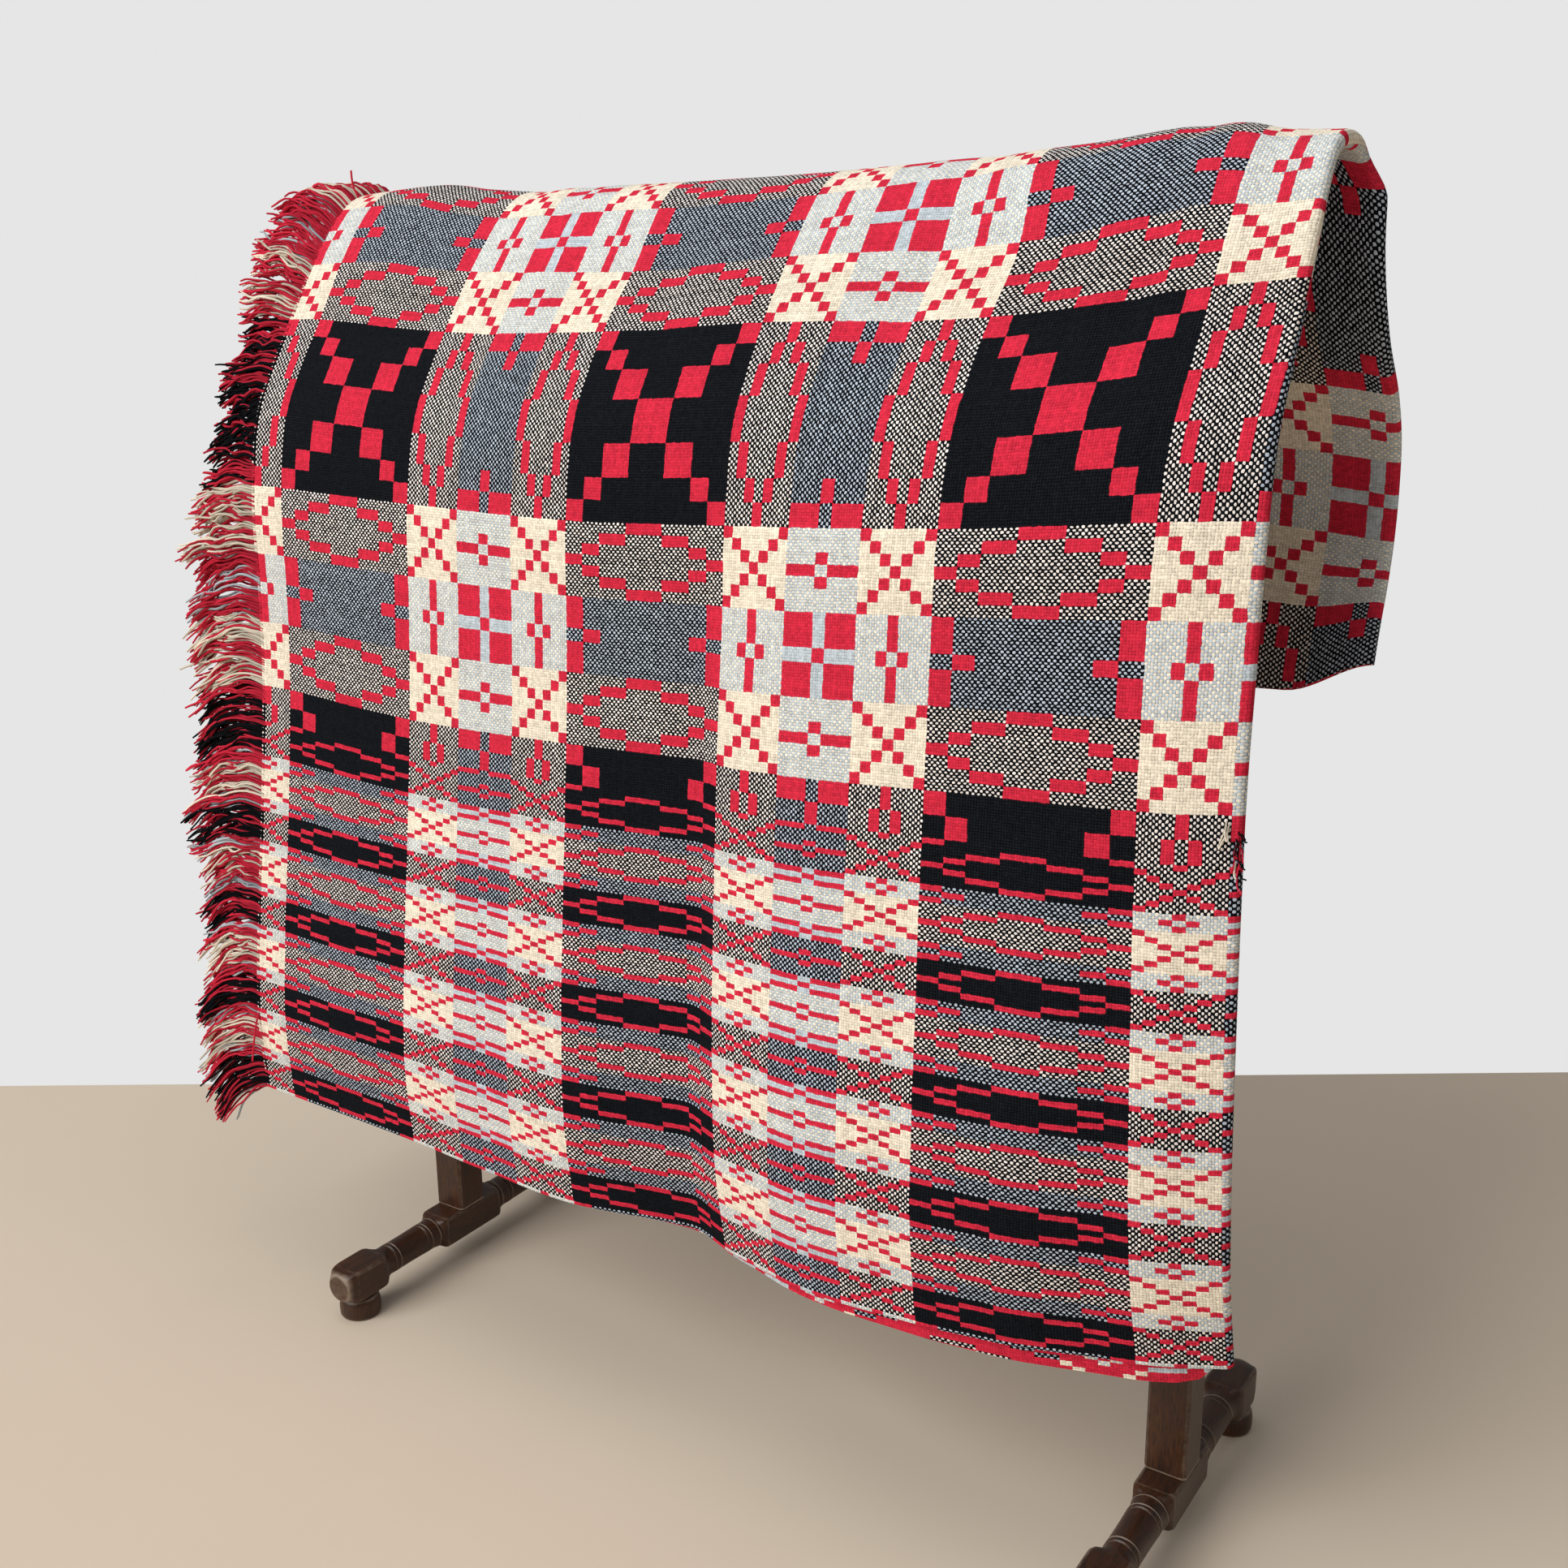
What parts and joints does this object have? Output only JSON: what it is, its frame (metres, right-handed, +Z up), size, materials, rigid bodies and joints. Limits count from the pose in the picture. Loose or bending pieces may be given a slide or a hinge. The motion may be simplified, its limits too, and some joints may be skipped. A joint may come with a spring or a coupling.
{
  "type": "tapestry blanket on a towel rail",
  "caption": "Folded double-cloth tapestry blanket with a fringed edge, draped over a dark wooden towel rail that stands on turned trestle feet.",
  "frame": {"origin": "on the floor, under the middle of everything built, fringe included", "axes": "+Z up, +X along the rails from the fringed end to the folded end, +Y from the front panel to the back"},
  "size_m": [0.8764, 0.286, 0.8833],
  "materials": {
    "cloth": "matt wool double cloth",
    "fringe": "loose wool yarn",
    "wood": "dark stained, satin, worn edges"
  },
  "bodies": {
    "root": {"blanket": "cloth", "fringe_front": "fringe", "fringe_front_slope": "fringe", "fringe_back_slope": "fringe", "fringe_back": "fringe", "post_left": "wood", "post_right": "wood", "foot_beam_left": "wood", "foot_beam_right": "wood", "arm_left": "wood", "arm_right": "wood", "top_rail": "wood", "front_rail": "wood", "back_rail": "wood", "bun_foot_front_left": "wood", "bun_foot_back_left": "wood", "bun_foot_front_right": "wood", "bun_foot_back_right": "wood"}
  },
  "joints": []
}
